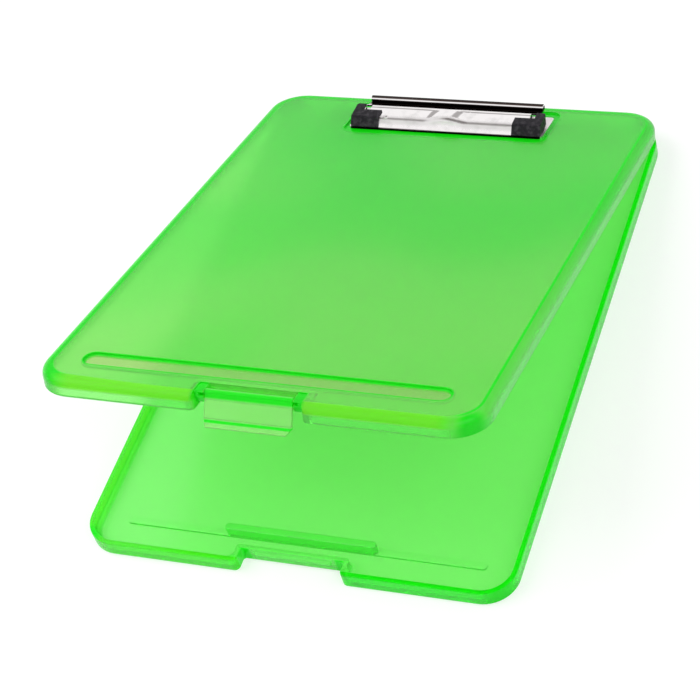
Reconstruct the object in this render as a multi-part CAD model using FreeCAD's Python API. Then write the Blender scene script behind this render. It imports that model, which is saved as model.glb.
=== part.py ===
import FreeCAD, Part
import math
import os

# Storage clipboard box: a shallow tray with a hinged lid, a swinging latch at the front
# and a low spring clip on the lid.
#
# Frame: X runs across, Y from the latch (-Y) to the hinge (+Y), Z up. The origin is the
# centre of the flat underside. Millimetres and degrees.
#
# Every piece is drawn with the case shut and the clip closed. The lid and all it carries
# then turn about the hinge to the rest pose, in which the lid stands ajar.

# Driving dimensions of the case
case_width = 237.0
case_length = 332.0
case_height = 19.2
base_height = 9.4
parting_gap = 0.2
wall = 2.6
base_floor = 2.0
lid_plate = 2.2
base_corner = 17.7
lid_corner = 20.2
lid_top_round = 4.7

# Rest pose
lid_open = 17.8
latch_open = 27.0

# Hinge; the rear edge of the tray is a round nose about the hinge axis
hinge_inset = 4.4
hinge_height = 5.0
barrel_radius = 4.4
pin_radius = 1.25
pin_chamfer = 0.3
running_gap = 0.05
knuckle_inner = 48.0
knuckle_outer = 84.0
knuckle_side_gap = 0.3
knuckle_web_height = 2.0
boss_width = 10.5
pin_grip = 6.0
nose_run = 3.0

# Tray details; the pen rib's places are measured from the front
notch_half = 28.5
base_notch_depth = 8.4
notch_outer_round = 3.0
notch_inner_round = 1.5
base_under_round = 1.4
base_rim_round = 0.5
floor_fillet = 3.5
pen_rib_front = 19.2
pen_rib_back = 23.4
pen_rib_half = 100.0
pen_rib_height = 1.2
pen_rib_round = 0.5
divider_half = 42.0
divider_round = 0.8
catch_height = 6.4
catch_reach = 1.1
catch_half_base = 1.4
catch_half_tip = 0.4
catch_side_gap = 2.0
catch_round = 0.3

# Lid details; the groove's and the recess's places are measured from the front
lid_notch_depth = 11.5
notch_flare = 4.0
groove_front = 17.0
groove_back = 28.0
groove_half = 97.5
groove_depth = 1.4
groove_backing = 1.2
groove_round = 0.7
recess_front = 284.5
recess_back = 323.5
recess_half = 61.5
recess_depth = 1.0
recess_corner = 6.0
recess_round = 0.6

# Latch; its heights are measured from the underside with the case shut
latch_half = 23.0
latch_inset = 6.4
latch_height = 17.3
latch_barrel = 1.75
latch_ahead = 1.6
latch_thick = 2.0
latch_crease = 3.4
latch_tip = 0.25
latch_flare = 2.7
lip_thick = 1.6
lip_round = 0.5
lip_crease_round = 1.5
lip_back_drop = 0.2
lip_back_round = 1.0
lip_taper = 2.4
taper_above = 0.6
hook_depth = 0.9
hook_low = 0.4
hook_high = 1.0
hook_root = 1.6
hook_round = 0.3
trunnion_radius = 1.2
trunnion_length = 3.0
trunnion_end_gap = 0.2
ear_gap = 0.5
ear_above = 1.5
ear_ahead = 2.6
ear_bottom = 11.4
ear_chin = 2.0
ear_chin_back = 1.0
ear_chin_rise = 0.8
ear_top_round = 1.2
ear_chin_round = 1.0
snap_slot_squeeze = 0.3

# Clip; places are measured from the front, heights from the top of its base plate
steel = 0.9
clip_base_half = 59.0
clip_base_front = 290.3
clip_base_back = 316.5
clip_base_thick = 1.0
clip_base_front_round = 3.0
clip_base_rear_round = 2.0
rod_inset = 309.0
rod_above = 2.7
rod_radius = 1.1
rod_half = 48.4
rod_head = 0.8
rod_head_rim = 0.5
base_ear_place = 45.0
base_ear_thick = 1.0
jaw_ear_place = 46.3
ear_rim = 0.7
ear_neck_half = 1.7
ear_foot_half = 3.0
ear_sink = 0.3
jaw_ear_foot = 5.6
jaw_half = 56.6
lip_inset = 290.8
lip_below = 1.0
crease_inset = 294.5
crease_above = 5.0
crease_round = 3.0
ridge_inset = 305.5
ridge_above = 7.2
ridge_round = 9.0
thumb_inset = 312.0
thumb_round = 3.0
thumb_half = 52.9
thumb_start = 305.0
roll_inset = 316.7
roll_above = 6.05
roll_radius = 2.0
jaw_gap = 0.1
bulge_half = 13.8
bulge_rise = 2.6
bulge_lean = 0.6
window_near = 48.8
window_away = 52.3
window_front = 300.8
window_back = 306.8
dimple_place = 36.8
dimple_inset = 296.0
dimple_above = 4.2
dimple_radius = 1.9
grip_inner = 40.8
grip_front_depth = 300.2
grip_rear = 306.0
grip_gap = 0.05
grip_side_skin = 1.2
grip_lip_skin = 0.3
grip_crease_skin = 0.8
grip_crease_above = 5.85
grip_rear_above = 8.1
grip_rear_low = 2.4
grip_foot_slope = 1.2
grip_edge_round = 0.4
grip_crease_round = 2.0
grip_top_round = 0.6
grip_foot_round = 1.0
grip_front_round = 1.2
grip_rear_round = 2.2
grip_corner_inset = 0.4
seat_inside = 0.7
seat_back = 1.5
seat_ahead = 5.0
seat_height = 1.0
rivet_place = 36.0
rivet_inset = 301.0
rivet_radius = 1.6
rivet_head_radius = 3.2
rivet_foot_radius = 2.8
rivet_head = 0.8
rivet_foot = 0.9
rivet_round = 0.35
spring_place = 18.0
spring_radius = 1.75
spring_wire = 0.4
spring_pitch = 1.3
spring_turns = 5
spring_plate_leg = 6.5
spring_jaw_leg = 8.5
spring_plate_slope = 4.0
spring_jaw_slope = 1.5

# Places that follow from the driving dimensions
front = -case_length / 2
rear = case_length / 2
hinge_y = rear - hinge_inset
lid_bottom = base_height + parting_gap
lid_ceiling = case_height - lid_plate
latch_y = front + latch_inset
clip_floor = case_height - recess_depth
clip_top = clip_floor + clip_base_thick
rod_y = front + rod_inset
rod_z = clip_top + rod_above
roll_y = front + roll_inset
roll_z = clip_top + roll_above

# Cutters run past what they cut by this much, joined pieces overlap by the sink, and cutters
# over the clip are tall enough to clear it
over = 1.0
sink = 0.5
tall = 20.0

V = FreeCAD.Vector


def box(x0, x1, y0, y1, z0, z1):
    return Part.makeBox(x1 - x0, y1 - y0, z1 - z0, V(x0, y0, z0))


def rod_along_x(radius, x0, x1, y, z):
    return Part.makeCylinder(radius, x1 - x0, V(x0, y, z), V(1, 0, 0))


def corner_arc(before, corner, after, radius):
    """Start, middle and end of the arc that rounds a corner of a path."""
    back = (before - corner).normalize()
    ahead = (after - corner).normalize()
    half = back.getAngle(ahead) / 2
    inward = (back + ahead).normalize()
    reach = radius / math.tan(half)
    middle = corner + inward * (radius / math.sin(half) - radius)
    return corner + back * reach, middle, corner + ahead * reach


def rounded_face(corners, place):
    """Flat face inside a closed path of (a, b, radius) corners; place makes 3D points."""
    points = [place(a, b) for a, b, radius in corners]
    edges = []
    stops = []
    for index, (a, b, radius) in enumerate(corners):
        here = points[index]
        after = points[(index + 1) % len(points)]
        if radius == 0:
            stops.append((here, here))
            continue
        start, middle, end = corner_arc(points[index - 1], here, after, radius)
        edges.append(Part.Arc(start, middle, end).toShape())
        stops.append((start, end))
    for index, (start, end) in enumerate(stops):
        previous_end = stops[index - 1][1]
        if previous_end.distanceToPoint(start) > 1e-6:
            edges.append(Part.LineSegment(previous_end, start).toShape())
    return Part.Face(Part.Wire(Part.__sortEdges__(edges)))


def plan_solid(right_half, z0, z1):
    """Upright solid whose outline is symmetric about X; corners run from front to rear."""
    left_half = [(-x, y, radius) for x, y, radius in reversed(right_half)]
    face = rounded_face(right_half + left_half, lambda x, y: V(x, y, z0))
    return face.extrude(V(0, 0, z1 - z0))


def bar_with_round_ends(half, y0, y1, z0, z1):
    """Long bar across the case whose ends are round in plan."""
    end_round = (y1 - y0) / 2 - 0.1
    return plan_solid([(half, y0, end_round), (half, y1, end_round)], z0, z1)


def side_face(corners, x):
    """Flat face across X inside a side-view outline of (y, z, radius) corners."""
    return rounded_face(corners, lambda y, z: V(x, y, z))


def side_solid(corners, x0, x1):
    """Solid with a side-view outline of (y, z, radius) corners between two X places."""
    return side_face(corners, x0).extrude(V(x1 - x0, 0, 0))


def edges_at(shape, height):
    """Edges that lie flat at one height."""
    return [edge for edge in shape.Edges
            if abs(edge.BoundBox.ZMin - height) < 1e-5 and abs(edge.BoundBox.ZMax - height) < 1e-5]


def both_sides(make):
    """The same feature made on the right (1) and on the left (-1)."""
    return [make(side) for side in (1, -1)]


def span(side, near, away):
    """An X range on one side of the middle, lowest first."""
    return sorted((side * near, side * away))


def swing(shape, y, z, angle):
    """Turn a copy about an X axis; a positive angle lifts its front."""
    turned = shape.copy()
    turned.rotate(V(0, y, z), V(-1, 0, 0), angle)
    return turned


def on_lid(shape):
    """Carry a piece of the shut lid to the rest pose."""
    return swing(shape, hinge_y, hinge_height, lid_open)


def tray_outline():
    """Outer plan of the tray with the latch notch at the front."""
    notch_y = front + base_notch_depth
    return [(notch_half, notch_y, notch_inner_round), (notch_half, front, notch_outer_round),
            (case_width / 2, front, base_corner), (case_width / 2, rear, base_corner)]


def tray_cavity():
    """Inside of the tray; it steps round the notch and the two hinge blocks."""
    notch_x = notch_half + wall
    notch_y = front + base_notch_depth + wall
    side_x = case_width / 2 - wall
    block_in = knuckle_inner - boss_width
    block_out = knuckle_outer + boss_width
    block_y = hinge_y - barrel_radius - knuckle_side_gap - wall
    corner = base_corner - wall
    meeting_round = floor_fillet + 0.5
    tight_round = floor_fillet + 0.2
    plan = [(notch_x, notch_y, notch_inner_round), (notch_x, front + wall, meeting_round),
            (side_x, front + wall, corner), (side_x, rear - wall, corner),
            (block_out, rear - wall, tight_round), (block_out, block_y, notch_inner_round),
            (block_in, block_y, notch_inner_round), (block_in, rear - wall, meeting_round)]
    cavity = plan_solid(plan, base_floor, base_height + over)
    return cavity.makeFillet(floor_fillet, edges_at(cavity, base_floor))


def rear_rounding():
    """Side view that the tray keeps: its rear edge is a round nose about the hinge axis."""
    nose = rod_along_x(barrel_radius, -case_width, case_width, hinge_y, hinge_height)
    foot_start = hinge_y - nose_run
    foot_rise = hinge_height - barrel_radius
    body = [(front - over, 0, 0), (foot_start, 0, 0), (hinge_y, foot_rise, 0),
            (hinge_y, base_height, 0), (front - over, base_height, 0)]
    return side_solid(body, -case_width, case_width).fuse(nose)


def catch_bead():
    """Bead on the notch wall that the latch snaps under."""
    face = front + base_notch_depth
    tip = face - catch_reach
    base_low = catch_height - catch_half_base
    base_high = catch_height + catch_half_base
    bead = [(face + sink, base_low, 0), (face, base_low, 0),
            (tip, catch_height - catch_half_tip, catch_round),
            (tip, catch_height + catch_half_tip, catch_round),
            (face, base_high, 0), (face + sink, base_high, 0)]
    half = latch_half - catch_side_gap
    return side_solid(bead, -half, half)


def pen_rib():
    """Low rib across the floor that keeps a pen at the front; its middle is a tall divider."""
    y0 = front + pen_rib_front
    y1 = front + pen_rib_back
    rib_top = base_floor + pen_rib_height
    low = bar_with_round_ends(pen_rib_half, y0, y1, base_floor - sink, rib_top)
    low = low.makeFillet(pen_rib_round, edges_at(low, rib_top))
    tall = bar_with_round_ends(divider_half, y0, y1, base_floor - sink, base_height)
    tall = tall.makeFillet(divider_round, edges_at(tall, base_height))
    return low.fuse(tall)


def knuckle_pocket(side):
    """Space in the tray's rear edge that a knuckle of the lid turns in."""
    x0, x1 = span(side, knuckle_inner, knuckle_outer)
    pocket_y = hinge_y - barrel_radius - knuckle_side_gap
    return box(x0, x1, pocket_y, rear + over, -over, base_height + over)


def pin_bore(side):
    """Bore for a hinge pin, open at the rear corner, where the pin goes in."""
    x0, x1 = span(side, knuckle_inner - pin_grip, case_width / 2)
    return rod_along_x(pin_radius, x0, x1, hinge_y, hinge_height)


def base_tray():
    tray = plan_solid(tray_outline(), 0, base_height)
    tray = tray.makeFillet(base_under_round, edges_at(tray, 0))
    tray = tray.makeFillet(base_rim_round, edges_at(tray, base_height))
    tray = tray.cut(tray_cavity())
    tray = tray.cut(both_sides(knuckle_pocket))
    tray = tray.common(rear_rounding())
    tray = tray.cut(both_sides(pin_bore))
    return tray.fuse([pen_rib(), catch_bead()]).removeSplitter()


def lid_body():
    """Outer form of the lid before its features."""
    half = case_width / 2
    body = plan_solid([(half, front, lid_corner), (half, rear, lid_corner)], lid_bottom, case_height)
    return body.makeFillet(lid_top_round, edges_at(body, case_height))


def lid_hollow():
    """Inside of the lid; it steps round the notch."""
    notch_x = notch_half + wall
    notch_y = front + lid_notch_depth + wall
    side_x = case_width / 2 - wall
    corner = lid_corner - wall
    plan = [(notch_x, notch_y, notch_inner_round), (notch_x, front + wall, notch_outer_round),
            (side_x, front + wall, corner), (side_x, rear - wall, corner)]
    hollow = plan_solid(plan, lid_bottom - over, lid_ceiling)
    return hollow.makeFillet(lid_top_round - lid_plate, edges_at(hollow, lid_ceiling))


def lid_notch():
    """Cutter for the latch notch; it flares in front so that the mouth's corners come out round."""
    mouth = notch_half + notch_outer_round + notch_flare
    plan = [(mouth, front - notch_flare, 0), (mouth, front, 0), (notch_half, front, notch_outer_round),
            (notch_half, front + lid_notch_depth, notch_inner_round)]
    return plan_solid(plan, lid_bottom - over, case_height + over)


def latch_ear(side):
    """Ear beside the latch, with a bore and a snap-in slot for the latch's trunnion."""
    x0, x1 = span(side, latch_half + ear_gap, notch_half + sink)
    ahead = latch_y - ear_ahead
    back = front + lid_notch_depth + sink
    top = latch_height + ear_above
    chin_y = ahead + ear_chin_back
    profile = [(ahead, top, ear_top_round), (back, top, 0), (back, ear_bottom, 0),
               (chin_y, ear_bottom + ear_chin_rise, ear_chin_round),
               (ahead, latch_height - ear_chin, ear_chin_round)]
    ear = side_solid(profile, x0, x1)
    b0, b1 = span(side, latch_half, latch_half + trunnion_length + trunnion_end_gap)
    slot_half = trunnion_radius - snap_slot_squeeze
    slot = box(b0, b1, ahead - over, latch_y, latch_height - slot_half, latch_height + slot_half)
    bore = rod_along_x(trunnion_radius + running_gap, b0, b1, latch_y, latch_height)
    return ear.cut(bore.fuse(slot))


def lid_knuckle(side):
    """Barrel round the hinge pin with the web that joins it to the lid's rear wall."""
    x0, x1 = span(side, knuckle_inner + knuckle_side_gap, knuckle_outer - knuckle_side_gap)
    web_top = lid_bottom + knuckle_web_height
    web = [(hinge_y, hinge_height, 0), (rear, hinge_height, 0), (rear, web_top, 0),
           (rear - wall, web_top, 0), (hinge_y, base_height, 0)]
    barrel = rod_along_x(barrel_radius, x0, x1, hinge_y, hinge_height)
    bore = rod_along_x(pin_radius + running_gap, x0 - over, x1 + over, hinge_y, hinge_height)
    return barrel.fuse(side_solid(web, x0, x1)).cut(bore)


def pen_groove():
    """Long shallow groove near the front of the lid."""
    low = case_height - groove_depth
    groove = bar_with_round_ends(groove_half, front + groove_front, front + groove_back,
                                 low, case_height + over)
    return groove.makeFillet(groove_round, edges_at(groove, low))


def pen_groove_backing():
    """Thickening under the groove, so that the plate keeps its strength there."""
    low = lid_ceiling - groove_backing
    backing = bar_with_round_ends(groove_half + groove_backing, front + groove_front - groove_backing,
                                  front + groove_back + groove_backing, low, lid_ceiling + sink)
    return backing.makeFillet(groove_round, edges_at(backing, low))


def clip_recess():
    recess = plan_solid([(recess_half, front + recess_front, recess_corner),
                         (recess_half, front + recess_back, recess_corner)], clip_floor, case_height + over)
    return recess.makeFillet(recess_round, edges_at(recess, clip_floor))


def rivet_shank(side, z0, z1):
    return Part.makeCylinder(rivet_radius, z1 - z0, V(side * rivet_place, front + rivet_inset, z0))


def lid_shell():
    lid = lid_body().cut(lid_hollow())
    lid = lid.fuse(pen_groove_backing())
    lid = lid.cut([lid_notch(), pen_groove(), clip_recess()])
    lid = lid.fuse(both_sides(latch_ear) + both_sides(lid_knuckle))
    lid = lid.cut(both_sides(lambda side: rivet_shank(side, lid_ceiling - over, case_height)))
    return lid.removeSplitter()


def hinge_pin(side):
    x0, x1 = span(side, knuckle_inner - pin_grip, knuckle_outer + pin_grip)
    pin = rod_along_x(pin_radius, x0, x1, hinge_y, hinge_height)
    return pin.makeChamfer(pin_chamfer, [edge for edge in pin.Edges if edge.BoundBox.XLength < 1e-6])


def latch_profile():
    """Side view of the latch's plate: straight outer face, flared lip, hook ridge behind."""
    outer = latch_y - latch_ahead
    inner = outer + latch_thick
    hook = inner + hook_depth
    tip_y = outer - latch_flare
    return [(outer, latch_height, 0), (outer, latch_crease, lip_crease_round),
            (tip_y, latch_tip, lip_round), (tip_y + lip_thick, latch_tip, lip_round),
            (inner, latch_crease - lip_back_drop, lip_back_round),
            (hook, latch_crease + hook_low, hook_round), (hook, latch_crease + hook_high, hook_round),
            (inner, latch_crease + hook_root, 0), (inner, latch_height, 0)]


def lip_trim(side):
    """Wedge cut off a side of the lip, so that the lip tapers towards its tip."""
    y0 = latch_y - latch_ahead - latch_flare - over
    high = latch_crease + taper_above
    low = latch_tip - over
    edge = side * latch_half
    wedge = Part.makePolygon([V(edge, y0, high), V(edge + side, y0, high), V(edge + side, y0, low),
                              V(edge - side * lip_taper, y0, low), V(edge, y0, high)])
    return Part.Face(wedge).extrude(V(0, latch_flare + latch_thick + hook_depth + 2 * over, 0))


def trunnion(side):
    x0, x1 = span(side, latch_half - over, latch_half + trunnion_length)
    return rod_along_x(trunnion_radius, x0, x1, latch_y, latch_height)


def latch():
    """Swinging latch: a barrel with trunnions, a plate, a hook ridge and a flared lip."""
    plate = side_solid(latch_profile(), -latch_half, latch_half)
    barrel = rod_along_x(latch_barrel, -latch_half, latch_half, latch_y, latch_height)
    body = plate.fuse(barrel).cut(both_sides(lip_trim)).fuse(both_sides(trunnion))
    return swing(body.removeSplitter(), latch_y, latch_height, latch_open)


def round_ear(side, near, thick, foot_z):
    """Sheet-steel ear round the clip's rod, with its foot at foot_z."""
    x0, x1 = span(side, near, near + thick)
    top = rod_along_x(rod_radius + ear_rim, x0, x1, rod_y, rod_z)
    foot = [(rod_y - ear_foot_half, foot_z, 0), (rod_y + ear_foot_half, foot_z, 0),
            (rod_y + ear_neck_half, rod_z, 0), (rod_y - ear_neck_half, rod_z, 0)]
    return top.fuse(side_solid(foot, x0, x1))


def clip_base_plate():
    """Steel plate riveted to the lid, with two ears that hold the rod."""
    plate = plan_solid([(clip_base_half, front + clip_base_front, clip_base_front_round),
                        (clip_base_half, front + clip_base_back, clip_base_rear_round)],
                       clip_floor, clip_top)
    ears = both_sides(lambda side: round_ear(side, base_ear_place, base_ear_thick, clip_top - ear_sink))
    plate = plate.fuse(ears)
    plate = plate.cut(rod_along_x(rod_radius, -rod_half, rod_half, rod_y, rod_z))
    plate = plate.cut(both_sides(lambda side: rivet_shank(side, clip_floor - over, clip_top + over)))
    return plate.removeSplitter()


def jaw_path(rise=0.0):
    """Top surface of the jaw in side view, from below the lip to the roll; rise lifts its crease."""
    sheet_at_roll = roll_z - roll_radius + steel
    crease_y = front + crease_inset - bulge_lean * rise / bulge_rise
    return [(front + lip_inset, clip_top - lip_below, 0),
            (crease_y, clip_top + crease_above + rise, crease_round),
            (front + ridge_inset, clip_top + ridge_above, ridge_round),
            (front + thumb_inset, sheet_at_roll, thumb_round), (roll_y, sheet_at_roll, 0)]


def path_below(path, depth):
    """The same path moved depth below itself, with the radii that keep its thickness."""
    moved = []
    for index, (y, z, radius) in enumerate(path):
        here = V(y, z, 0)
        before = V(*path[index - 1][:2], 0) if index > 0 else None
        after = V(*path[index + 1][:2], 0) if index < len(path) - 1 else None
        first = (here - before).normalize() if before else (after - here).normalize()
        second = (after - here).normalize() if after else first
        normal_1 = V(first.y, -first.x, 0)
        normal_2 = V(second.y, -second.x, 0)
        mitre = (normal_1 + normal_2).normalize()
        point = here + mitre * (depth / mitre.dot(normal_1))
        bends_down = first.cross(second).z < 0
        new_radius = 0 if radius == 0 else radius - depth if bends_down else radius + depth
        moved.append((point.x, point.y, new_radius))
    return moved


def sheet_profile(path, thickness):
    """Closed side view of a bent sheet whose top surface follows the path."""
    return path + list(reversed(path_below(path, thickness)))


def jaw_bulge():
    """Middle of the jaw's sheet, where the crease is pressed up into a smooth swelling."""
    stations = 9
    wires = []
    for index in range(stations):
        share = 2 * index / (stations - 1) - 1
        rise = bulge_rise * (1 + math.cos(math.pi * share)) / 2
        wires.append(side_face(sheet_profile(jaw_path(rise), steel), share * bulge_half).OuterWire)
    return Part.makeLoft(wires, True, False)


def jaw_sheet():
    """The jaw's bent sheet from lip to roll, with the swelling in its middle."""
    flat_parts = [side_solid(sheet_profile(jaw_path(), steel), *span(side, bulge_half, jaw_half))
                  for side in (1, -1)]
    return jaw_bulge().fuse(flat_parts)


def jaw_cuts(side):
    """What is cut off one side of the jaw: its rear corner, the grip's seat and a window."""
    x0, x1 = span(side, thumb_half, jaw_half + over)
    corner = box(x0, x1, front + thumb_start, rear, clip_top, clip_top + tall)
    x0, x1 = span(side, grip_inner + seat_inside, jaw_half + over)
    seat = box(x0, x1, front + lip_inset - seat_ahead, front + crease_inset + seat_back,
               clip_top, clip_top + seat_height)
    x0, x1 = span(side, window_near, window_away)
    window = box(x0, x1, front + window_front, front + window_back, clip_top, clip_top + tall)
    return corner.fuse([seat, window])


def above_jaw():
    """Everything over the middle of the jaw's sheet, to trim the ears to it."""
    path = path_below(jaw_path(), steel / 2)
    top = [(path[-1][0], clip_top + tall, 0), (path[0][0], clip_top + tall, 0)]
    return side_solid([(y, z, 0) for y, z, radius in path] + top, -jaw_half, jaw_half)


def clip_jaw_plate():
    """Pressed jaw: lip, bulged crease, rolled thumb edge, two ears on the rod and a dimple."""
    sheet = jaw_sheet()
    sheet = sheet.cut(box(-case_width, case_width, front, rear, 0, clip_top + jaw_gap))
    sheet = sheet.cut(both_sides(jaw_cuts))
    roll = rod_along_x(roll_radius, -thumb_half, thumb_half, roll_y, roll_z)
    hole = rod_along_x(roll_radius - steel, -thumb_half, thumb_half, roll_y, roll_z)
    dimple = Part.makeSphere(dimple_radius, V(-dimple_place, front + dimple_inset, clip_top + dimple_above))
    sheet = sheet.fuse([roll, dimple]).cut(hole)
    ears = both_sides(lambda side: round_ear(side, jaw_ear_place, steel, clip_top + jaw_ear_foot))
    sheet = sheet.fuse([ear.cut(above_jaw()) for ear in ears])
    sheet = sheet.cut(rod_along_x(rod_radius + running_gap, -rod_half, rod_half, rod_y, rod_z))
    return sheet.removeSplitter()


def clip_grip(side, jaw):
    """L-shaped rubber grip moulded over a front corner of the jaw."""
    low = clip_top + grip_gap
    lip_y = front + lip_inset - grip_lip_skin
    crease_y = front + crease_inset - grip_crease_skin
    rear_y = front + grip_rear
    rear_z = clip_top + grip_rear_above
    profile = [(lip_y, low, grip_edge_round),
               (crease_y, clip_top + grip_crease_above, grip_crease_round),
               (rear_y, rear_z, grip_top_round), (rear_y, clip_top + grip_rear_low, grip_edge_round),
               (front + grip_front_depth - grip_foot_slope, low, grip_foot_round)]
    outer = jaw_half + grip_side_skin
    plan = plan_solid([(outer, lip_y, grip_front_round), (outer, rear_y, grip_rear_round)],
                      clip_top, rear_z + over)
    x0, x1 = span(side, grip_inner, outer)
    block = side_solid(profile, x0, x1).common(plan)
    x0, x1 = span(side, grip_inner - over, thumb_half - grip_corner_inset)
    inner_corner = box(x0, x1, front + grip_front_depth, rear_y + over, clip_top - over, clip_top + tall)
    return block.cut([inner_corner, jaw])


def clip_pivot_rod():
    head_start = rod_half - rod_head
    rod = rod_along_x(rod_radius, -head_start, head_start, rod_y, rod_z)
    heads = both_sides(lambda side: rod_along_x(rod_radius + rod_head_rim, *span(side, head_start, rod_half),
                                                rod_y, rod_z))
    return rod.fuse(heads).removeSplitter()


def clip_rivet(side):
    """Rivet with a flat head on the plate and a clinched foot under the lid."""
    place = V(side * rivet_place, front + rivet_inset, 0)
    top = clip_top + rivet_head
    bottom = lid_ceiling - rivet_foot
    head = Part.makeCylinder(rivet_head_radius, rivet_head, place + V(0, 0, clip_top))
    foot = Part.makeCylinder(rivet_foot_radius, rivet_foot, place + V(0, 0, bottom))
    rivet = rivet_shank(side, bottom, top).fuse([head, foot]).removeSplitter()
    return rivet.makeFillet(rivet_round, edges_at(rivet, top) + edges_at(rivet, bottom))


def clip_rivets():
    return Part.makeCompound(both_sides(clip_rivet))


def coil_point(angle, x0):
    """Point and direction of travel on a spring's centre line at an angle in radians."""
    point = V(x0 + spring_pitch * angle / (2 * math.pi), rod_y + spring_radius * math.cos(angle),
              rod_z + spring_radius * math.sin(angle))
    along = V(spring_pitch / (2 * math.pi), -spring_radius * math.sin(angle), spring_radius * math.cos(angle))
    return point, along.normalize()


def tangent_arc(start, corner, end):
    """Arc from start to end whose end tangents meet at corner, at equal distances."""
    chord_middle = (start + end) * 0.5
    reach = start.distanceToPoint(corner)
    turn = math.acos(start.distanceToPoint(chord_middle) / reach)
    radius = reach / math.tan(turn)
    inward = (chord_middle - corner).normalize()
    return Part.Arc(start, corner + inward * (radius / math.cos(turn) - radius), end).toShape()


def biarc(start, start_way, end, end_way):
    """Two smoothly joined arcs between two points with given directions."""
    gap = end - start
    ways = start_way + end_way
    a = 4 - ways.dot(ways)
    b = 2 * gap.dot(ways)
    reach = (-b + math.sqrt(b * b + 4 * a * gap.dot(gap))) / (2 * a)
    first = start + start_way * reach
    second = end - end_way * reach
    middle = (first + second) * 0.5
    return [tangent_arc(start, first, middle), tangent_arc(middle, second, end)]


def clip_spring(side):
    """Torsion spring on the rod: one wire with a leg on the plate and a leg under the jaw."""
    begin = -math.pi / 2 + math.radians(spring_plate_slope)
    finish = math.pi / 2 - math.radians(spring_jaw_slope) + 2 * math.pi * spring_turns
    x0 = side * spring_place - spring_pitch * (spring_turns + 0.5) / 2
    steps = 2 * spring_turns + 1
    angles = [begin + (finish - begin) * step / steps for step in range(steps + 1)]
    stations = [coil_point(angle, x0) for angle in angles]
    first, first_way = stations[0]
    last, last_way = stations[-1]
    tail = first - first_way * spring_plate_leg
    edges = [Part.LineSegment(tail, first).toShape()]
    for (start, start_way), (end, end_way) in zip(stations, stations[1:]):
        edges += biarc(start, start_way, end, end_way)
    edges.append(Part.LineSegment(last, last + last_way * spring_jaw_leg).toShape())
    spine = Part.Wire(edges)
    ring = Part.Wire(Part.Circle(tail, first_way, spring_wire).toShape())
    wire = spine.makePipeShell([ring], True, False)
    return wire, spring_gap(x0, begin, finish)


def spring_gap(x0, begin, finish):
    """Least gap between neighbouring turns of a spring, measured on points."""
    points_per_turn = 60
    count = points_per_turn * spring_turns
    half_turn = points_per_turn // 2
    points = [coil_point(begin + (finish - begin) * step / count, x0)[0] for step in range(count + 1)]
    nearest = min(points[i].distanceToPoint(points[j])
                  for i in range(len(points)) for j in range(i + half_turn, len(points)))
    return nearest - 2 * spring_wire


def main():
    jaw = clip_jaw_plate()
    left_spring, left_gap = clip_spring(-1)
    right_spring, right_gap = clip_spring(1)
    print("least gap between spring turns, mm: %.2f %.2f" % (left_gap, right_gap))
    pieces = {
        "base_tray": base_tray(),
        "hinge_pin_left": hinge_pin(-1),
        "hinge_pin_right": hinge_pin(1),
        "lid_shell": on_lid(lid_shell()),
        "latch": on_lid(latch()),
        "clip_base_plate": on_lid(clip_base_plate()),
        "clip_rivets": on_lid(clip_rivets()),
        "clip_pivot_rod": on_lid(clip_pivot_rod()),
        "clip_spring_left": on_lid(left_spring),
        "clip_spring_right": on_lid(right_spring),
        "clip_jaw_plate": on_lid(jaw),
        "clip_grip_left": on_lid(clip_grip(-1, jaw)),
        "clip_grip_right": on_lid(clip_grip(1, jaw)),
    }
    for name, shape in pieces.items():
        print(name, "solids", len(shape.Solids), "valid", shape.isValid(), "volume %.1f" % shape.Volume)
        shape.exportStep("parts/%s.step" % name)


os.makedirs("parts", exist_ok=True)
main()
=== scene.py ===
import math

import bpy
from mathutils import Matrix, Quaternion, Vector

# Looks of the storage clipboard box: camera, light, floor and the finish of every piece.
# Metres and degrees, in the same frame as the solids.

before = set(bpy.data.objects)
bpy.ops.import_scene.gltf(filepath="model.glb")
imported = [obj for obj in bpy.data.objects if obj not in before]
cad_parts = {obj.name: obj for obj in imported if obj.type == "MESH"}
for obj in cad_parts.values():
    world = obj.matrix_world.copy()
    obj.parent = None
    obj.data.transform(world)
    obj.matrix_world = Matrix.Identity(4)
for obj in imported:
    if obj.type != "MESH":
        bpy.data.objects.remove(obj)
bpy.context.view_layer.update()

# Camera, fitted to the outline of the box in the photograph
camera_eye = Vector((0.442175, -0.746354, 0.904449))
camera_aim = Vector((-0.017908, -0.012780, 0.0))
camera_roll = -18.790
focal_pixels = 2270.9
picture_pixels = 700
sensor_width = 36.0
nearest_seen = 0.05
farthest_seen = 20.0

# The lid stands open at this angle about the hinge, which runs along X
lid_open = math.radians(17.8)
hinge_place = Vector((0.0, 0.1616, 0.005))

# Half of the case's width and length, and its outer corner radii
half_width = 0.1185
half_length = 0.166
lid_corner = 0.0202
base_corner = 0.0177

# The lid's groove and clip recess, and the tray's middle rib: middle and half sizes in plan.
# The ends of groove and rib are round but for a small flat.
groove_middle = Vector((0.0, -0.1435, 0.0))
groove_half = (0.0975, 0.0055)
recess_middle = Vector((0.0, 0.138, 0.0))
recess_half = (0.0615, 0.0195)
recess_corner = 0.006
rib_middle = Vector((0.0, -0.1447, 0.0))
rib_half = (0.042, 0.0021)
end_flat = 0.0001

# How high the top of the shut lid lies, and how far its upper edge is rounded
lid_top = 0.0192
lid_round = 0.0047

# Latch: its hinge line with the lid shut, how far it stands open, and how far below the hinge its
# crease and its green band lie
latch_hinge = Vector((0.0, -0.1596, 0.0173))
latch_open = math.radians(27)
latch_crease_drop = 0.0139
latch_band_drop = 0.0006

# Middle of the front wall's end beside the latch notch, and how far back its purer green, painted as edge
# glow, reaches
notch_end = 0.0262
lid_notch_reach = 0.0125
tray_notch_reach = 0.0095
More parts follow.
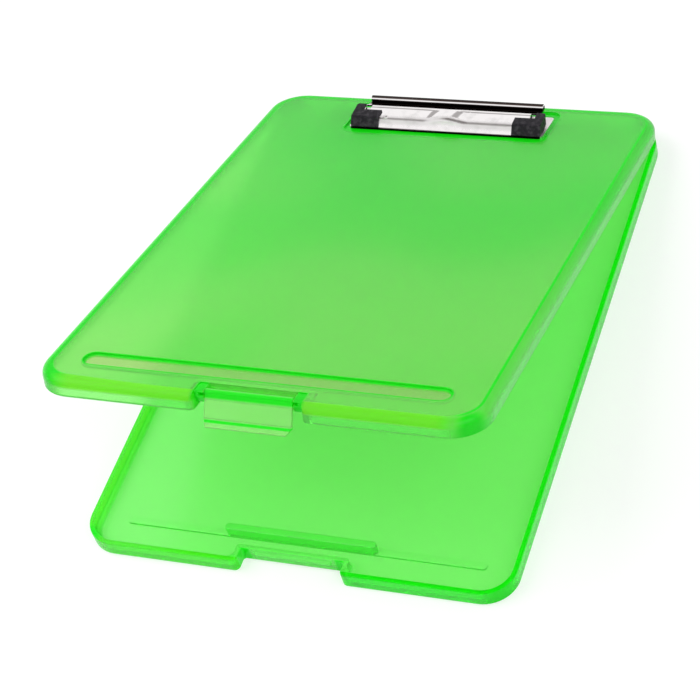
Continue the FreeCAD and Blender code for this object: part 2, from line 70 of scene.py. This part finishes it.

# Front end of the clip's base plate, a little behind its cut edge; what lies in front of it gets a painted
# shadow from the jaw's lip
plate_front = 0.1249

# Jaw of the clip, along the lid: its crease, its slope down from the ridge, and where its roll
# starts; and how high the roll's middle lies
crease_line = 0.1285
slope_start = 0.1385
slope_end = 0.1455
roll_start = 0.1482
roll_height = 0.02525

# How much of a line's half width and of a corner's radius is full colour, and a usual soft border
line_core = 0.4
corner_core = 0.4
border_soft = 0.001

# Soft borders on the lid, from and to, as distances outside its outline; and how far inside it
# the upper rim lies
rounding_border = (-0.0054, -0.0040)
corner_border = (-0.0070, -0.0020)
lid_wall_border = (-0.0032, -0.0024)
rim_inset = 0.0044

# Heights between which the lid's wall passes into its rounding
below_rounding = (lid_top - lid_round - border_soft, lid_top - lid_round + border_soft)

# The purer rounding, painted as edge glow, widens inward toward the rear and the left: from where to where,
# and how far
widen_rear = (0.05, 0.15)
widen_rear_by = 0.0022
widen_left = (-0.05, -0.11)
widen_left_by = 0.0018

# Soft borders across the lid toward its right side, and along it toward its front end
right_border = (0.095, 0.110)
front_border = (-0.1605, -0.1590)

# Soft borders of the groove's floor and the recess, as distances outside their outlines
groove_floor_border = (-0.0012, -0.0008)
recess_border = (0.0003, 0.0012)

# In the tray: soft borders of its wall and corners, how far inside the outline the wall's foot
# lies, where the walls turn a deeper green from left to right, and the rib in plan and in height
tray_wall_border = (-0.0030, -0.0022)
tray_corner_border = (-0.0050, -0.0020)
foot_inset = 0.0032
deep_border = (-0.06, 0.04)
rib_border = (0.0002, 0.0008)
rib_rise = (0.0030, 0.0045)

# Half widths of the lines of purer green, painted as edge glow
rim_half = 0.0012
groove_line_half = 0.0012
foot_half = 0.0012
lid_notch_half = 0.0045
tray_notch_half = 0.0040
latch_crease_half = 0.0011
latch_band_half = 0.0036

# Shares of the purer green painted as edge glow, of the groove's tint and of the paler tone, 0 to 1
right_share = 0.45
foot_share = 0.5
rib_share = 0.3
groove_share = 0.75
forward_share = 0.75
cloud_share = 0.35

# Colours of the plastic: broad faces in two tones, walls, and the purer green of its edges, painted as edge
# glow
plate_green = (0.03, 0.86, 0.04, 1.0)
plate_green_pale = (0.40, 0.88, 0.22, 1.0)
wall_green = (0.50, 1.0, 0.36, 1.0)
side_green = (0.20, 0.95, 0.16, 1.0)
latch_green = (0.54, 0.93, 0.32, 1.0)
latch_green_pale = (0.64, 0.94, 0.48, 1.0)
tray_green = (0.36, 1.0, 0.28, 1.0)
tray_green_pale = (0.43, 1.0, 0.33, 1.0)
tray_wall_green = (0.30, 1.0, 0.04, 1.0)
tray_wall_green_deep = (0.012, 1.0, 0.010, 1.0)
groove_green = (0.66, 0.74, 0.32, 1.0)
edge_green = (0.006, 0.84, 0.006, 1.0)
edge_green_front = (0.20, 0.84, 0.02, 1.0)
edge_green_bright = (0.005, 0.92, 0.004, 1.0)

# What thick plastic lets through, and how strongly it takes up the rest
depth_green = (0.05, 1.0, 0.03, 1.0)
depth_density = 150.0

# Weak painted glow, standing in for the light that the plastic's fluorescent dye gives off: its colour and
# its strength
glow_green = (0.03, 1.0, 0.02, 1.0)
tray_glow = 0.04
lid_glow = 0.02

# Share of light that passes the plastic: broad faces, thin walls and closed-up edges
clear_plate = 0.72
clear_wall = 0.88
clear_edge = 0.40

# Noise: its own roughness, and how much fine detail it has on each kind of surface
noise_roughness = 0.55
plain_detail = 1.0
haze_detail = 2.0
mark_detail = 3.0
speck_detail = 4.0
wear_detail = 5.0

# Surface of the plastic: refraction, shine, haze, scratches, faint ripples and clouds of colour.
# The values called noise are those between which the noise is used.
plastic_ior = 1.49
plastic_shine = 0.12
haze_roughness = (0.20, 0.24)
haze_scale = 22.0
haze_noise = (0.3, 0.7)
scratch_roughness = 0.02
scratch_scale = 900.0
scratch_noise = (0.74, 0.80)
scratch_stretch = (0.03, 1.0, 1.0)
scratch_turns = (0.5, -1.1)
ripple_scale = 60.0
ripple_share = 0.02
ripple_depth = 0.0006
cloud_scale = 7.0
cloud_noise = (0.35, 0.65)
latch_cloud_scale = 30.0

# Tint and roughness of each metal
jaw_metal = ((0.92, 0.89, 0.89), 0.03)
plate_metal = ((0.95, 0.88, 0.90), 0.38)
pin_metal = ((0.60, 0.60, 0.61), 0.22)
spring_metal = ((0.50, 0.50, 0.52), 0.18)
rivet_metal = ((0.70, 0.69, 0.68), 0.25)

# Surface of the metals: rolling marks, wear, a painted shadow along the base plate's front edge and the
# jaw's soft crease
mark_stretch = (0.05, 1.0, 1.0)
mark_scale = 2600.0
mark_share = 0.015
mark_depth = 0.0001
wear_scale = 120.0
wear_noise = (0.45, 0.75)
wear_dulling = 0.86
wear_roughness = 0.05
lip_shadow_depth = 0.0002
lip_shadow_colour = (12, 10, 10)
crease_half = 0.0030
crease_roughness = 0.35

# Painted dark reflections on the jaw: the slope, and the roll but for one band, as heights above the roll's
# middle
band_bottom = (0.0003, 0.0007)
band_top = (0.0016, 0.0018)
slope_painted_reflection = (0.16, 0.12, 0.105, 1.0)
roll_painted_reflection = (0.035, 0.026, 0.024, 1.0)

# Surface of the black rubber; its two colours are written as they look in a picture, 0 to 255
rubber_black = (27, 25, 30)
rubber_scuffed = (60, 57, 62)
rubber_roughness = (0.42, 0.62)
rubber_shine = 0.18
speck_scale = 900.0
speck_noise = (0.3, 0.7)
speck_share = 0.12
speck_depth = 0.0003
scuff_scale = 420.0
scuff_noise = (0.42, 0.72)

# In reflections the surroundings are white, with a dark ring low round the box, a dark part
# overhead and a dark part high up behind it.
# Degrees round the horizon: the middle of the part behind, half its width and its soft border.
# Degrees above the horizon: where the ring begins and ends, where the dark begins high up behind
# and overhead in front, and half the width of their soft borders.
# The ring's share says how dark it is beside the other two parts.
behind_turn = 115.0
behind_half = 90.0
behind_soft = 24.0
ring_low = 12.0
ring_high = 23.0
ring_share = 0.6
high_behind = 58.0
overhead = 60.0
usual_soft = 2.0
overhead_soft = 4.0
dark_colour = (0.075, 0.055, 0.050, 1.0)
white = (1.0, 1.0, 1.0, 1.0)

# Strength of the world, as light and where it is seen
world_light = 0.55
world_seen = 1.0

# Floor: its size and drop, its own colour, and its brightness where it is seen near and far off,
# with the distances from the middle at which these hold
floor_half = 3.0
floor_drop = 0.0002
floor_grey = (0.46, 0.46, 0.46, 1.0)
floor_glow = (0.60, 0.80)
floor_reach = (0.4, 1.8)

# Lamps: place, size and watts
key_lamp = ((-1.3, -0.2, 1.7), 1.6, 24.0)
fill_lamp = ((1.4, -0.6, 1.4), 1.4, 14.0)


class Tree:
    """Short forms for building one material's or the world's nodes."""

    def __init__(self, owner):
        owner.use_nodes = True
        self.nodes = owner.node_tree.nodes
        self.links = owner.node_tree.links
        self.nodes.clear()

    def add(self, kind, **settings):
        node = self.nodes.new(kind)
        for name, value in settings.items():
            setattr(node, name, value)
        return node

    def feed(self, socket, value):
        """Link a socket to another, or set its plain value."""
        if isinstance(value, bpy.types.NodeSocket):
            self.links.new(value, socket)
        else:
            socket.default_value = value

    def math(self, operation, *values):
        node = self.add("ShaderNodeMath", operation=operation)
        for socket, value in zip(node.inputs, values):
            self.feed(socket, value)
        return node.outputs[0]

    def times(self, first, second):
        return self.math("MULTIPLY", first, second)

    def rest_of(self, share):
        """What is left of 1."""
        return self.math("SUBTRACT", 1.0, share)

    def strongest(self, first, *others):
        """The largest of several shares."""
        for other in others:
            first = self.math("MAXIMUM", first, other)
        return first

    def vector(self, operation, first, second):
        node = self.add("ShaderNodeVectorMath", operation=operation)
        self.feed(node.inputs[0], first)
        self.feed(node.inputs[1], second)
        return node.outputs

    def split(self, place):
        """The three coordinates of a place."""
        node = self.add("ShaderNodeSeparateXYZ")
        self.feed(node.inputs[0], place)
        return node.outputs

    def remap(self, value, low, high, to_low=0.0, to_high=1.0):
        """Smooth step from to_low to to_high as value goes from low to high."""
        node = self.add("ShaderNodeMapRange", interpolation_type="SMOOTHSTEP")
        for socket, number in zip(node.inputs, (value, low, high, to_low, to_high)):
            self.feed(socket, number)
        return node.outputs[0]

    def mix(self, factor, first, second):
        node = self.add("ShaderNodeMix", data_type="RGBA")
        self.feed(node.inputs["Factor"], factor)
        self.feed(node.inputs[6], first)
        self.feed(node.inputs[7], second)
        return node.outputs[2]

    def noise(self, place, scale, detail):
        node = self.add("ShaderNodeTexNoise")
        self.feed(node.inputs["Vector"], place)
        node.inputs["Scale"].default_value = scale
        node.inputs["Detail"].default_value = detail
        node.inputs["Roughness"].default_value = noise_roughness
        return node.outputs["Fac"]

    def bump(self, height, strength, distance):
        node = self.add("ShaderNodeBump")
        node.inputs["Strength"].default_value = strength
        node.inputs["Distance"].default_value = distance
        self.feed(node.inputs["Height"], height)
        return node.outputs[0]


def srgb(red, green, blue):
    """A colour written as it looks in a picture, 0 to 255, as linear light."""
    def linear(value):
        value = value / 255
        return value / 12.92 if value <= 0.04045 else ((value + 0.055) / 1.055) ** 2.4
    return linear(red), linear(green), linear(blue), 1.0


def rest_place(tree):
    """Each point's place at rest, in the frame of the solids."""
    return tree.add("ShaderNodeTexCoord").outputs["Object"]


def shut_place(tree):
    """Each point's place with the lid shut, for pieces that the lid carries."""
    node = tree.add("ShaderNodeVectorRotate", rotation_type="X_AXIS")
    tree.feed(node.inputs["Vector"], rest_place(tree))
    node.inputs["Center"].default_value = hinge_place
    node.inputs["Angle"].default_value = lid_open
    return node.outputs[0]


def outline_distance(tree, place, half_x, half_y, corner, middle=None):
    """How far outside a rounded rectangle's outline a point lies in plan, in metres."""
    if middle is not None:
        place = tree.vector("SUBTRACT", place, middle)[0]
    x, y, _ = tree.split(place)
    across = tree.math("SUBTRACT", tree.math("ABSOLUTE", x), half_x - corner)
    along = tree.math("SUBTRACT", tree.math("ABSOLUTE", y), half_y - corner)
    past_x = tree.math("MAXIMUM", across, 0.0)
    past_y = tree.math("MAXIMUM", along, 0.0)
    squares = tree.math("ADD", tree.times(past_x, past_x), tree.times(past_y, past_y))
    inside = tree.math("MINIMUM", tree.math("MAXIMUM", across, along), 0.0)
    outline = tree.math("ADD", tree.math("SQRT", squares), inside)
    return tree.math("SUBTRACT", outline, corner)


def slot_distance(tree, place, half, middle):
    """Distance outside the outline of a slot with round ends."""
    return outline_distance(tree, place, *half, half[1] - end_flat, middle)


def corner_share(tree, place, corner):
    """1 in the rounded corners of the case, falling softly to 0 along its sides."""
    x, y, _ = tree.split(place)
    shares = []
    for value, half in ((x, half_width), (y, half_length)):
        past = tree.math("ABSOLUTE", value)
        shares.append(tree.remap(past, half - corner, half - corner_core * corner))
    return tree.times(*shares)


def line_at(tree, distance, half):
    """1 on an outline, falling softly to 0 at half a line's width from it."""
    return tree.remap(tree.math("ABSOLUTE", distance), half * line_core, half, 1.0, 0.0)


def beside_notch(tree, place, reach, half):
    """1 on the two ends of the front wall beside the latch notch."""
    across, along, _ = tree.split(place)
    aside = tree.math("SUBTRACT", tree.math("ABSOLUTE", across), notch_end)
    inner_end = reach - half_length
    near_front = tree.remap(along, inner_end - border_soft, inner_end, 1.0, 0.0)
    return tree.times(line_at(tree, aside, half), near_front)


def scratches(tree, place):
    """Sparse hairlines in two directions, 0 to 1."""
    lines = []
    for angle in scratch_turns:
        turn = tree.add("ShaderNodeVectorRotate", rotation_type="Z_AXIS")
        tree.feed(turn.inputs["Vector"], place)
        turn.inputs["Angle"].default_value = angle
        drawn = tree.vector("MULTIPLY", turn.outputs[0], scratch_stretch)[0]
        lines.append(tree.remap(tree.noise(drawn, scratch_scale, plain_detail), *scratch_noise))
    return tree.strongest(*lines)


def finish_surface(tree, shader, volume=None):
    out = tree.add("ShaderNodeOutputMaterial")
    tree.links.new(shader.outputs[0], out.inputs["Surface"])
    if volume is not None:
        tree.links.new(volume.outputs[0], out.inputs["Volume"])


def plastic(name, glow, paint):
    """Milky see-through moulded plastic; paint gives place, colour and share of light let through."""
    material = bpy.data.materials.new(name)
    tree = Tree(material)
    shader = tree.add("ShaderNodeBsdfPrincipled")
    place, colour, clear = paint(tree)
    tree.feed(shader.inputs["Base Color"], colour)
    haze = tree.remap(tree.noise(place, haze_scale, haze_detail), *haze_noise, *haze_roughness)
    scratch = tree.times(scratches(tree, place), scratch_roughness)
    tree.feed(shader.inputs["Roughness"], tree.math("ADD", haze, scratch))
    ripples = tree.noise(place, ripple_scale, plain_detail)
    tree.feed(shader.inputs["Normal"], tree.bump(ripples, ripple_share, ripple_depth))
    shader.inputs["IOR"].default_value = plastic_ior
    shader.inputs["Specular IOR Level"].default_value = plastic_shine
    tree.feed(shader.inputs["Transmission Weight"], clear)
    # Painted glow, standing in for the light of the fluorescent dye
    shader.inputs["Emission Color"].default_value = glow_green
    shader.inputs["Emission Strength"].default_value = glow
    volume = tree.add("ShaderNodeVolumeAbsorption")
    volume.inputs["Color"].default_value = depth_green
    volume.inputs["Density"].default_value = depth_density
    finish_surface(tree, shader, volume)
    return material


def clearness(tree, wall, closed):
    """Share of light that passes, from how much a point is wall and how far it closes up."""
    open_share = tree.remap(wall, 0.0, 1.0, clear_plate, clear_wall)
    shut = tree.remap(closed, 0.0, 1.0)
    return tree.math("ADD", tree.times(open_share, tree.rest_of(shut)), tree.times(shut, clear_edge))


def lid_rounding(tree, place, outline, right, high):
    """Share of purer green, painted as edge glow, along the lid's rounding; on the right only its upper rim
    is pure.
    """
    across, along, _ = tree.split(place)
    inward = tree.strongest(tree.remap(along, *widen_rear, 0.0, widen_rear_by),
                            tree.remap(across, *widen_left, 0.0, widen_left_by))
    rounding = tree.times(tree.remap(tree.math("ADD", outline, inward), *rounding_border),
                          tree.remap(right, 0.0, 1.0, 1.0, right_share))
    rim = tree.times(line_at(tree, tree.math("ADD", outline, rim_inset), rim_half), right)
    return tree.times(tree.math("MAXIMUM", rounding, rim), high)


def lid_plate_colour(tree, place, groove, wall, right):
    """Plate in two tones, paler walls and the tinted floor of the groove."""
    along = tree.split(place)[1]
    forward = tree.remap(along, -half_length, half_length, forward_share, 0.0)
    cloud = tree.remap(tree.noise(place, cloud_scale, plain_detail), *cloud_noise, 0.0, cloud_share)
    plate = tree.mix(tree.math("ADD", forward, cloud), plate_green, plate_green_pale)
    colour = tree.mix(wall, plate, tree.mix(right, wall_green, side_green))
    return tree.mix(tree.remap(groove, *groove_floor_border, groove_share, 0.0), colour, groove_green)


def lid_edge_colour(tree, place, notch):
    """Purer green of the edges, painted as edge glow, yellower on the front rounding between the corners.
    """
    across, along, _ = tree.split(place)
    aside = tree.strongest(tree.remap(tree.math("ABSOLUTE", across), *right_border), notch)
    front = tree.times(tree.remap(along, *front_border, 1.0, 0.0), tree.rest_of(aside))
    return tree.mix(front, edge_green, edge_green_front)


def paint_lid(tree):
    """Plate, paler walls, and purer green along the rounding, the groove and the recess; on the rounding,
    corners, notch and groove outline it is painted edge glow.
    """
    place = shut_place(tree)
    across, _, height = tree.split(place)
    low = tree.remap(height, *below_rounding, 1.0, 0.0)
    right = tree.remap(across, *right_border)
    outline = outline_distance(tree, place, half_width, half_length, lid_corner)
    groove = slot_distance(tree, place, groove_half, groove_middle)
    recess = outline_distance(tree, place, *recess_half, recess_corner, recess_middle)
    notch = beside_notch(tree, place, lid_notch_reach, lid_notch_half)
    pure = tree.strongest(
        lid_rounding(tree, place, outline, right, tree.rest_of(low)),
        line_at(tree, groove, groove_line_half),
        tree.remap(recess, *recess_border, 1.0, 0.0),
        tree.times(corner_share(tree, place, lid_corner), tree.remap(outline, *corner_border)),
        notch)
    wall = tree.times(tree.remap(outline, *lid_wall_border), low)
    plain = lid_plate_colour(tree, place, groove, wall, right)
    colour = tree.mix(pure, plain, lid_edge_colour(tree, place, notch))
    return place, colour, clearness(tree, tree.times(wall, tree.rest_of(right)), pure)


def paint_tray(tree):
    """Floor, purer walls, and the purest green, painted as edge glow, at the walls' foot, the corners, the
    rib's top and the notch.
    """
    place = rest_place(tree)
    across, _, height = tree.split(place)
    outline = outline_distance(tree, place, half_width, half_length, base_corner)
    floor = tree.mix(tree.noise(place, cloud_scale, plain_detail), tray_green, tray_green_pale)
    walls = tree.mix(tree.remap(across, *deep_border), tray_wall_green, tray_wall_green_deep)
    wall = tree.remap(outline, *tray_wall_border)
    foot = line_at(tree, tree.math("ADD", outline, foot_inset), foot_half)
    rib = tree.remap(slot_distance(tree, place, rib_half, rib_middle), *rib_border, rib_share, 0.0)
    pure = tree.strongest(
        tree.times(foot, foot_share),
        tree.times(corner_share(tree, place, base_corner), tree.remap(outline, *tray_corner_border)),
        tree.times(rib, tree.remap(height, *rib_rise)),
        beside_notch(tree, place, tray_notch_reach, tray_notch_half))
    colour = tree.mix(pure, tree.mix(wall, floor, walls), edge_green_bright)
    return place, colour, clearness(tree, wall, pure)


def latch_distance(tree, place, drop):
    """How far a point of the latch lies, along its plate, from a line that far below its hinge."""
    down = Vector((0.0, -math.sin(latch_open), -math.cos(latch_open)))
    below = tree.vector("DOT_PRODUCT", place, down)["Value"]
    return tree.math("SUBTRACT", below, latch_hinge.dot(down) + drop)


def paint_latch(tree):
    """Pale plate with a purer green, painted as edge glow, at the hinge and along the crease of the lip."""
    place = shut_place(tree)
    plate = tree.mix(tree.noise(place, latch_cloud_scale, plain_detail), latch_green, latch_green_pale)
    crease = latch_distance(tree, place, latch_crease_drop)
    band = latch_distance(tree, place, latch_band_drop)
    pure = tree.strongest(line_at(tree, crease, latch_crease_half), line_at(tree, band, latch_band_half))
    return place, tree.mix(pure, plate, edge_green_bright), clearness(tree, 0.0, pure)


def paint_lip_shadow(tree, colour, roughness):
    """Paints the front edge of the base plate dark, as the shadow under the jaw's lip."""
    along = tree.split(shut_place(tree))[1]
    # Painted shadow under the jaw's lip, on the base plate's front edge
    shadowed = tree.remap(along, plate_front, plate_front + lip_shadow_depth, 1.0, 0.0)
    return tree.mix(shadowed, colour, srgb(*lip_shadow_colour)), roughness


def paint_jaw_reflections(tree, colour, roughness):
    """Paints dark reflections on the slope behind the ridge and on all but one band of the roll; softens
    the crease.
    """
    _, along, height = tree.split(shut_place(tree))
    above = tree.math("SUBTRACT", height, roll_height)
    on_roll = tree.remap(along, slope_end, roll_start)
    band = tree.times(tree.remap(above, *band_bottom), tree.remap(above, *band_top, 1.0, 0.0))
    # Painted dark reflections: the slope behind the ridge, and the roll but for its one bright band
    painted_dark = tree.times(tree.remap(along, slope_start, slope_end), tree.rest_of(tree.times(on_roll, band)))
    crease = line_at(tree, tree.math("SUBTRACT", along, crease_line), crease_half)
    soft = tree.math("ADD", roughness, tree.times(crease, crease_roughness))
    return tree.mix(painted_dark, colour, tree.mix(on_roll, slope_painted_reflection, roll_painted_reflection)), soft


def plated_steel(name, tint, roughness, alter=None):
    """Bright plated sheet with faint rolling marks and wear; alter changes its colour and roughness, as the
    jaw's painted reflections and the base plate's painted shadow do.
    """
    material = bpy.data.materials.new(name)
    tree = Tree(material)
    place = rest_place(tree)
    shader = tree.add("ShaderNodeBsdfPrincipled")
    drawn = tree.vector("MULTIPLY", place, mark_stretch)[0]
    marks = tree.noise(drawn, mark_scale, mark_detail)
    wear = tree.remap(tree.noise(place, wear_scale, wear_detail), *wear_noise)
    dull = tuple(channel * wear_dulling for channel in tint)
    colour = tree.mix(wear, (*tint, 1.0), (*dull, 1.0))
    rough = tree.math("ADD", tree.times(wear, wear_roughness), roughness)
    if alter is not None:
        colour, rough = alter(tree, colour, rough)
    tree.feed(shader.inputs["Base Color"], colour)
    tree.feed(shader.inputs["Roughness"], rough)
    tree.feed(shader.inputs["Normal"], tree.bump(marks, mark_share, mark_depth))
    shader.inputs["Metallic"].default_value = 1.0
    finish_surface(tree, shader)
    return material


def black_rubber(name):
    """Matte black rubber with fine specks and paler scuffs."""
    material = bpy.data.materials.new(name)
    tree = Tree(material)
    place = rest_place(tree)
    shader = tree.add("ShaderNodeBsdfPrincipled")
    speck = tree.noise(place, speck_scale, speck_detail)
    scuff = tree.remap(tree.noise(place, scuff_scale, wear_detail), *scuff_noise)
    colour = tree.mix(scuff, srgb(*rubber_black), srgb(*rubber_scuffed))
    tree.feed(shader.inputs["Base Color"], colour)
    tree.feed(shader.inputs["Roughness"], tree.remap(speck, *speck_noise, *rubber_roughness))
    tree.feed(shader.inputs["Normal"], tree.bump(speck, speck_share, speck_depth))
    shader.inputs["Specular IOR Level"].default_value = rubber_shine
    finish_surface(tree, shader)
    return material


def dress(material, *nodes):
    """Gives a material to every slot of some of the frame's nodes."""
    for node in nodes:
        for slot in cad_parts[node].material_slots:
            slot.material = material


def dress_all():
    dress(plastic("green_base", tray_glow, paint_tray), "base_tray")
    dress(plastic("green_lid", lid_glow, paint_lid), "lid_shell")
    dress(plastic("green_latch", lid_glow, paint_latch), "latch")
    dress(plated_steel("chrome_jaw", *jaw_metal, paint_jaw_reflections), "clip_jaw_plate")
    dress(plated_steel("chrome_plate", *plate_metal, paint_lip_shadow), "clip_base_plate")
    dress(plated_steel("steel_pin", *pin_metal), "hinge_pin_left", "hinge_pin_right", "clip_pivot_rod")
    dress(plated_steel("spring_steel", *spring_metal), "clip_spring_left", "clip_spring_right")
    dress(plated_steel("rivet_metal", *rivet_metal), "clip_rivets")
    dress(black_rubber("black_rubber"), "clip_grip_left", "clip_grip_right")


def seen_directly(tree):
    """1 for rays that show the background itself, in reflections and through the plastic too."""
    path = tree.add("ShaderNodeLightPath").outputs
    return tree.strongest(path["Is Camera Ray"], path["Is Glossy Ray"], path["Is Transmission Ray"])


def floor_material():
    """Pale grey that is shown nearly white, near and far, and keeps the box's shadow."""
    material = bpy.data.materials.new("floor")
    tree = Tree(material)
    diffuse = tree.add("ShaderNodeBsdfDiffuse")
    diffuse.inputs["Color"].default_value = floor_grey
    away = tree.add("ShaderNodeVectorMath", operation="LENGTH")
    tree.feed(away.inputs[0], rest_place(tree))
    strength = tree.remap(away.outputs["Value"], *floor_reach, *floor_glow)
    glow = tree.add("ShaderNodeEmission")
    tree.feed(glow.inputs["Strength"], tree.times(seen_directly(tree), strength))
    both = tree.add("ShaderNodeAddShader")
    tree.links.new(diffuse.outputs[0], both.inputs[0])
    tree.links.new(glow.outputs[0], both.inputs[1])
    finish_surface(tree, both)
    return material


def make_floor():
    """Square floor just below the box."""
    corners = [(x * floor_half, y * floor_half, 0) for x, y in ((-1, -1), (1, -1), (1, 1), (-1, 1))]
    mesh = bpy.data.meshes.new("floor")
    mesh.from_pydata(corners, [], [(0, 1, 2, 3)])
    mesh.materials.append(floor_material())
    floor = bpy.data.objects.new("floor", mesh)
    floor.location.z = -floor_drop
    bpy.context.scene.collection.objects.link(floor)


def rise(tree, height, degrees, soft=usual_soft):
    """0 below an angle above the horizon and 1 above it."""
    border = (math.sin(math.radians(turn)) for turn in (degrees - soft, degrees + soft))
    return tree.remap(height, *border)


def behind_share(tree, way_x, way_y, height):
    """1 in the part of the surroundings behind the box, whatever the height."""
    middle = math.radians(behind_turn)
    toward = tree.math("ADD", tree.times(way_x, math.cos(middle)), tree.times(way_y, math.sin(middle)))
    flat = tree.math("SQRT", tree.rest_of(tree.times(height, height)))
    border = (math.cos(math.radians(turn)) for turn in (behind_half, behind_half - behind_soft))
    return tree.remap(tree.math("DIVIDE", toward, flat), *border)


def make_world():
    """White background, and a plain soft light with dark parts round the box and overhead."""
    world = bpy.data.worlds.new("world")
    bpy.context.scene.world = world
    tree = Tree(world)
    way_x, way_y, height = tree.split(tree.add("ShaderNodeTexCoord").outputs["Generated"])
    ring = tree.math("SUBTRACT", rise(tree, height, ring_low), rise(tree, height, ring_high))
    behind = tree.times(behind_share(tree, way_x, way_y, height), rise(tree, height, high_behind))
    dark = tree.strongest(tree.times(ring, ring_share), behind, rise(tree, height, overhead, overhead_soft))
    dark = tree.times(dark, tree.add("ShaderNodeLightPath").outputs["Is Glossy Ray"])
    sky = tree.add("ShaderNodeBackground")
    tree.feed(sky.inputs["Color"], tree.mix(dark, white, dark_colour))
    tree.feed(sky.inputs["Strength"], tree.remap(seen_directly(tree), 0.0, 1.0, world_light, world_seen))
    out = tree.add("ShaderNodeOutputWorld")
    tree.links.new(sky.outputs[0], out.inputs["Surface"])


def area_light(name, place, size, watts):
    """Square lamp turned to the middle of the box's underside."""
    data = bpy.data.lights.new(name, "AREA")
    data.shape = "SQUARE"
    data.size = size
    data.energy = watts
    light = bpy.data.objects.new(name, data)
    light.location = place
    light.rotation_mode = "QUATERNION"
    light.rotation_quaternion = (-Vector(place)).to_track_quat("-Z", "Y")
    light.visible_glossy = False
    bpy.context.scene.collection.objects.link(light)


def make_lights():
    area_light("key", *key_lamp)
    area_light("fill", *fill_lamp)


def make_camera():
    data = bpy.data.cameras.new("camera")
    data.sensor_width = sensor_width
    data.lens = focal_pixels * sensor_width / picture_pixels
    data.clip_start = nearest_seen
    data.clip_end = farthest_seen
    camera = bpy.data.objects.new("camera", data)
    camera.location = camera_eye
    camera.rotation_mode = "QUATERNION"
    look = (camera_aim - camera_eye).to_track_quat("-Z", "Y")
    camera.rotation_quaternion = look @ Quaternion((0, 0, 1), math.radians(camera_roll))
    bpy.context.scene.collection.objects.link(camera)
    bpy.context.scene.camera = camera


make_camera()
make_world()
make_lights()
make_floor()
dress_all()

bpy.context.scene.view_settings.view_transform = "Standard"
